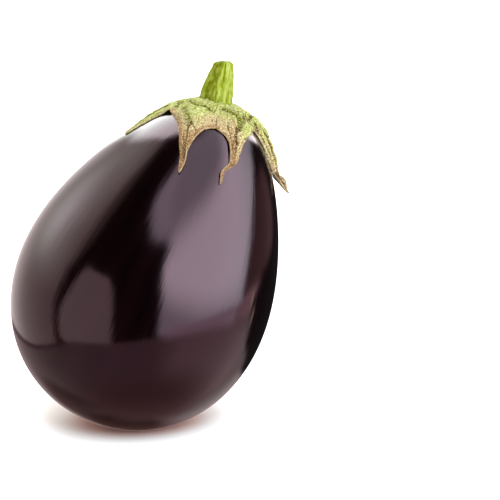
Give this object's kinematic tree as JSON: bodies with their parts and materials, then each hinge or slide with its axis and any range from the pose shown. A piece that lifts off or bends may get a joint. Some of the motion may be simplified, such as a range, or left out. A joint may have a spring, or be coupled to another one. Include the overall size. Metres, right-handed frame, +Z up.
{
  "type": "eggplant",
  "caption": "Glossy globe eggplant standing on a small flat spot and leaning, with a lobed green calyx and a short cut stem.",
  "frame": {"origin": "middle of the small flat spot under the fruit that it rests on", "axes": "+Z up out of the resting surface, +X the way the fruit's axis leans, -Y the side that faces the viewer"},
  "size_m": [0.1176, 0.1061, 0.1539],
  "materials": {
    "skin": "near-black aubergine skin, smooth and glossy, with faint lengthwise streaks",
    "calyx": "matt yellow-green, mottled darker, with dry tan edges and brown tips",
    "stem": "ribbed green stalk, satin, with a pale woody cut end"
  },
  "bodies": {
    "root": {"fruit": "skin", "calyx": "calyx", "stem": "stem"}
  },
  "joints": []
}
